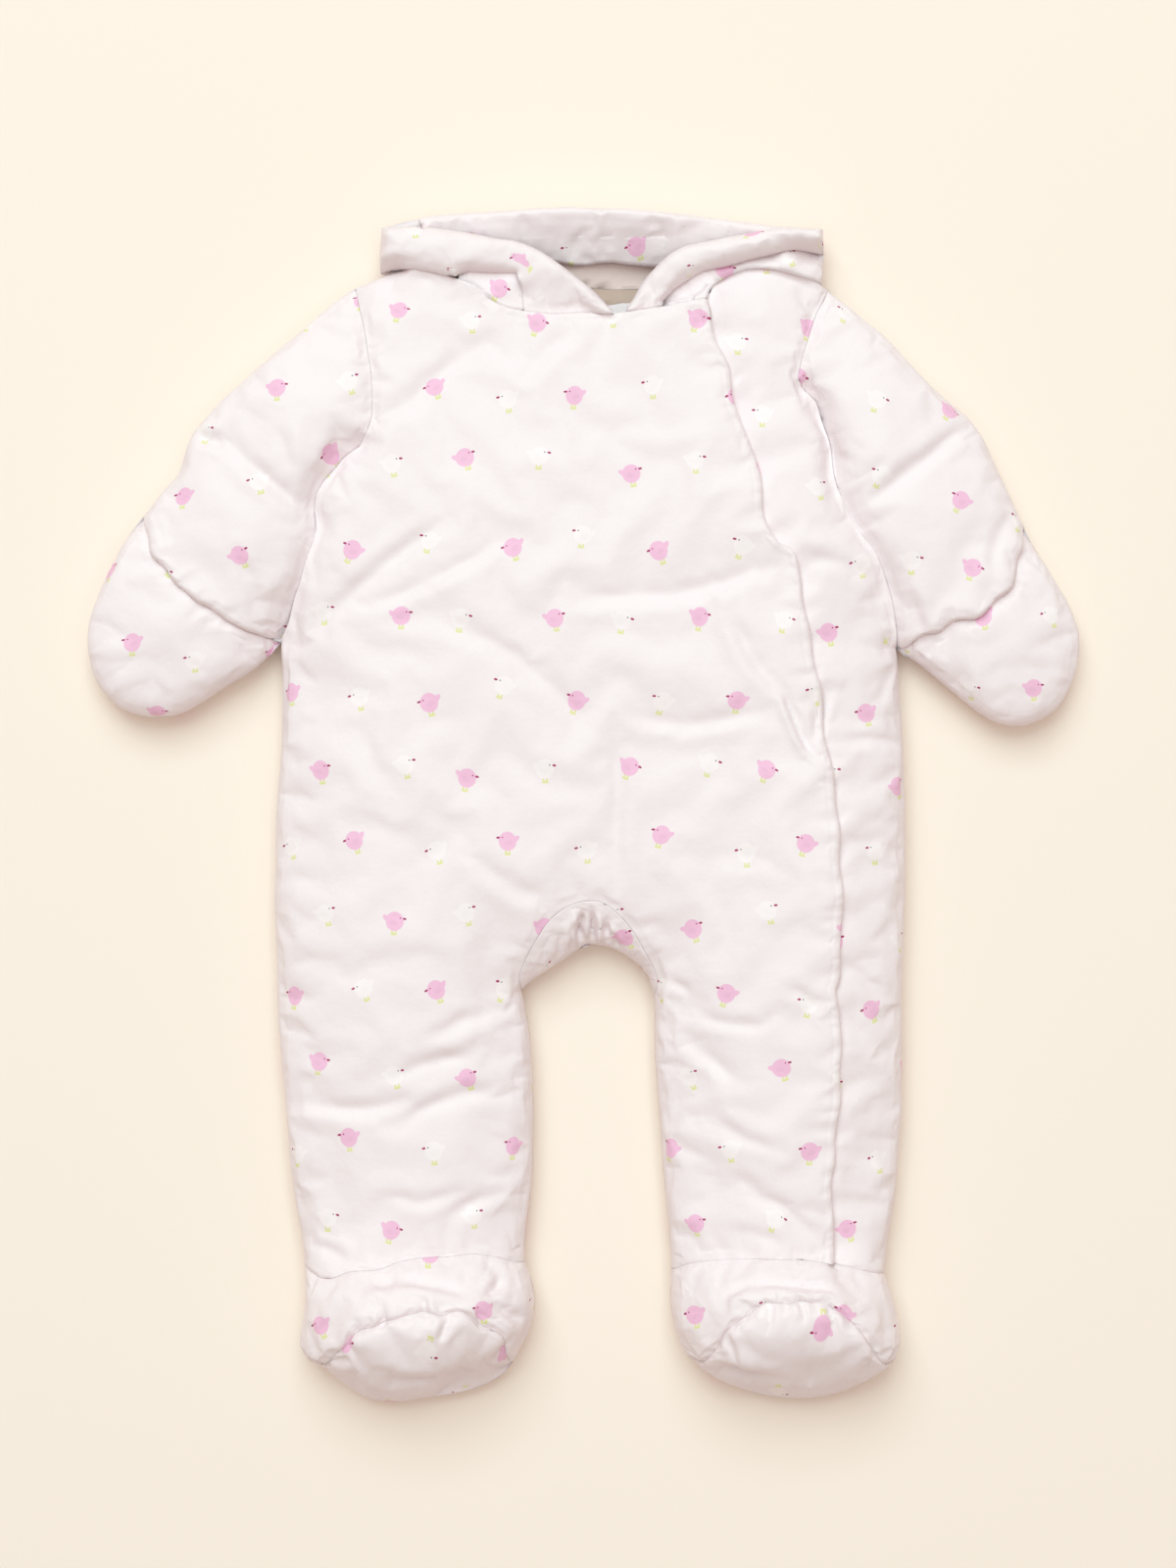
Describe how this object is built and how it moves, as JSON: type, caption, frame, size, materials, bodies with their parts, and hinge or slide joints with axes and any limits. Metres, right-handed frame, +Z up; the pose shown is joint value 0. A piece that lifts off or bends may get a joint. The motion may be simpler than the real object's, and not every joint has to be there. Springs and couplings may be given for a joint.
{
  "type": "baby snowsuit",
  "caption": "Padded baby snowsuit laid flat on its back, with a dropped hood, a wrap-over front flap, mitten sleeves and footed legs, in pale pink cloth with small chicks.",
  "frame": {"origin": "centre of the suit's box at the floor that it lies on", "axes": "+X to the wearer's left, +Y from the feet to the hood, +Z up from the floor; the suit lies on its back"},
  "size_m": [0.5254, 0.6324, 0.0604],
  "materials": {
    "front_wrap": "pale pink satin-weave cotton, printed with small chicks, padded",
    "front_side": "pale pink satin-weave cotton, printed with small chicks, padded",
    "gusset": "pale pink satin-weave cotton, printed with small chicks, padded",
    "back": "pale pink satin-weave cotton, printed with small chicks, padded",
    "sleeve_right_top": "pale pink satin-weave cotton, printed with small chicks, padded",
    "sleeve_right_under": "pale pink satin-weave cotton, printed with small chicks, padded",
    "sleeve_left_top": "pale pink satin-weave cotton, printed with small chicks, padded",
    "sleeve_left_under": "pale pink satin-weave cotton, printed with small chicks, padded",
    "mitten_right_top": "pale pink satin-weave cotton, printed with small chicks, padded",
    "mitten_right_under": "pale pink satin-weave cotton, printed with small chicks, padded",
    "mitten_left_top": "pale pink satin-weave cotton, printed with small chicks, padded",
    "mitten_left_under": "pale pink satin-weave cotton, printed with small chicks, padded",
    "boot_right_top": "pale pink satin-weave cotton, printed with small chicks, padded",
    "boot_right_under": "pale pink satin-weave cotton, printed with small chicks, padded",
    "boot_right_sole": "pale pink satin-weave cotton, printed with small chicks, padded",
    "boot_left_top": "pale pink satin-weave cotton, printed with small chicks, padded",
    "boot_left_under": "pale pink satin-weave cotton, printed with small chicks, padded",
    "boot_left_sole": "pale pink satin-weave cotton, printed with small chicks, padded",
    "hood_back": "pale pink satin-weave cotton, printed with small chicks, padded",
    "hood_facing": "pale pink satin-weave cotton, printed with small chicks, padded",
    "hood_band_right": "pale pink satin-weave cotton, printed with small chicks, padded",
    "hood_band_left": "pale pink satin-weave cotton, printed with small chicks, padded",
    "hood_side_right": "pale pink satin-weave cotton, printed with small chicks, padded",
    "hood_side_left": "pale pink satin-weave cotton, printed with small chicks, padded",
    "hood_lining": "plain off-white brushed lining",
    "neck_lining": "plain off-white brushed lining"
  },
  "bodies": {
    "root": {"front_wrap": "front_wrap", "front_side": "front_side", "gusset": "gusset", "back": "back", "sleeve_right_top": "sleeve_right_top", "sleeve_right_under": "sleeve_right_under", "sleeve_left_top": "sleeve_left_top", "sleeve_left_under": "sleeve_left_under", "mitten_right_top": "mitten_right_top", "mitten_right_under": "mitten_right_under", "mitten_left_top": "mitten_left_top", "mitten_left_under": "mitten_left_under", "boot_right_top": "boot_right_top", "boot_right_under": "boot_right_under", "boot_right_sole": "boot_right_sole", "boot_left_top": "boot_left_top", "boot_left_under": "boot_left_under", "boot_left_sole": "boot_left_sole", "hood_back": "hood_back", "hood_facing": "hood_facing", "hood_band_right": "hood_band_right", "hood_band_left": "hood_band_left", "hood_side_right": "hood_side_right", "hood_side_left": "hood_side_left", "hood_lining": "hood_lining", "neck_lining": "neck_lining"}
  },
  "joints": []
}
